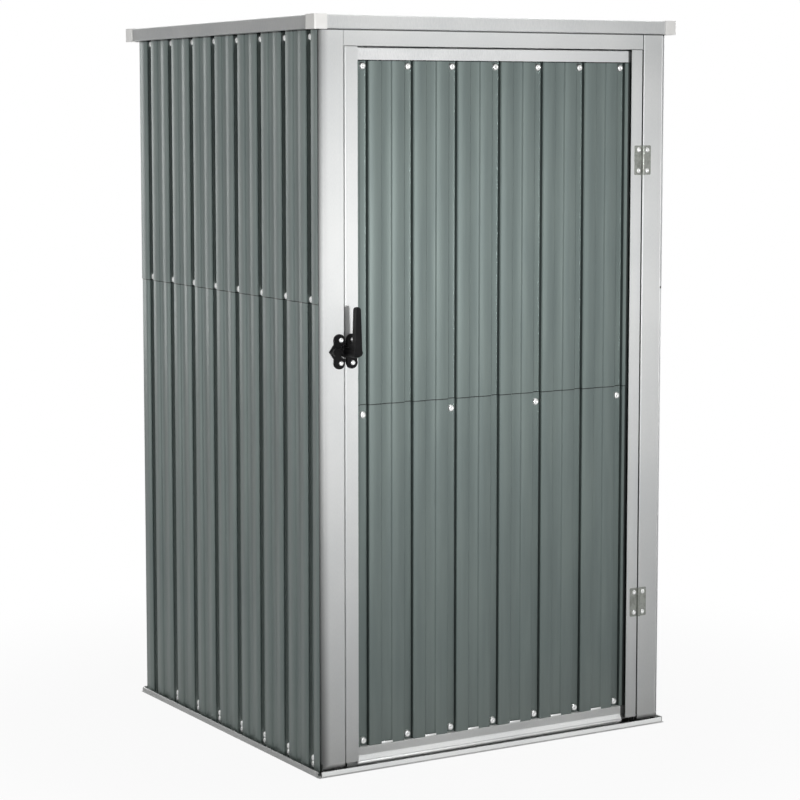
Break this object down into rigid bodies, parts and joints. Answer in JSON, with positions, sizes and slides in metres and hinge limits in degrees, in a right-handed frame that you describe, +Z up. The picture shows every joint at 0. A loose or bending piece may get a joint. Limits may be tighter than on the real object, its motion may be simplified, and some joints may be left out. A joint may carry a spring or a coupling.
{
  "type": "metal storage shed",
  "caption": "Small metal storage shed: grey profiled steel sheets on a silver frame, a nearly flat trimmed roof, and one hinged door with a lever latch.",
  "frame": {"origin": "on the ground, at the middle of the shed's box", "axes": "+Z up, the door faces -Y, +X to the right of someone who faces the door"},
  "size_m": [0.9188, 0.9584, 1.5914],
  "materials": {
    "profiled_sheet": "satin grey paint",
    "silver_frame": "silver grey coating",
    "hinge_steel": "zinc plated",
    "cap_plastic": "light grey",
    "latch_plastic": "matte black"
  },
  "bodies": {
    "shed": {"base_rail_front": "silver_frame", "base_rail_back": "silver_frame", "base_rail_left": "silver_frame", "base_rail_right": "silver_frame", "corner_post_front_left": "silver_frame", "corner_post_front_right": "silver_frame", "corner_post_back_left": "silver_frame", "corner_post_back_right": "silver_frame", "left_wall_lower": "profiled_sheet", "left_wall_upper": "profiled_sheet", "right_wall_lower": "profiled_sheet", "right_wall_upper": "profiled_sheet", "back_wall_lower": "profiled_sheet", "back_wall_upper": "profiled_sheet", "wall_girt_left": "silver_frame", "wall_girt_right": "silver_frame", "wall_girt_back": "silver_frame", "top_rail_left": "silver_frame", "top_rail_right": "silver_frame", "top_rail_back": "silver_frame", "door_header": "silver_frame", "roof_sheet_left": "profiled_sheet", "roof_sheet_right": "profiled_sheet", "roof_trim_front": "silver_frame", "roof_trim_back": "silver_frame", "roof_trim_left": "silver_frame", "roof_trim_right": "silver_frame", "roof_cap_front_left": "cap_plastic", "roof_cap_front_right": "cap_plastic", "roof_cap_back_left": "cap_plastic", "roof_cap_back_right": "cap_plastic", "hinge_post_leaf_lower": "hinge_steel", "hinge_post_leaf_upper": "hinge_steel", "latch_keeper": "latch_plastic"},
    "door": {"door_stile_left": "silver_frame", "door_stile_right": "silver_frame", "door_rail_top": "silver_frame", "door_rail_bottom": "silver_frame", "door_rail_middle": "silver_frame", "door_sheet_lower": "profiled_sheet", "door_sheet_upper": "profiled_sheet", "hinge_door_leaf_lower": "hinge_steel", "hinge_door_leaf_upper": "hinge_steel", "latch_base": "latch_plastic"},
    "latch_lever": {"latch_lever": "latch_plastic"}
  },
  "joints": [
    {"name": "door_hinge", "type": "hinge", "parent": "shed", "child": "door", "pos_m": [0.3805, -0.4335, 0], "axis": [0, 0, 1], "range_deg": [0, 165]},
    {"name": "latch_turn", "type": "hinge", "parent": "door", "child": "latch_lever", "pos_m": [-0.381, -0.43, 0.898], "axis": [0, 1, 0], "range_deg": [0, 90]}
  ]
}
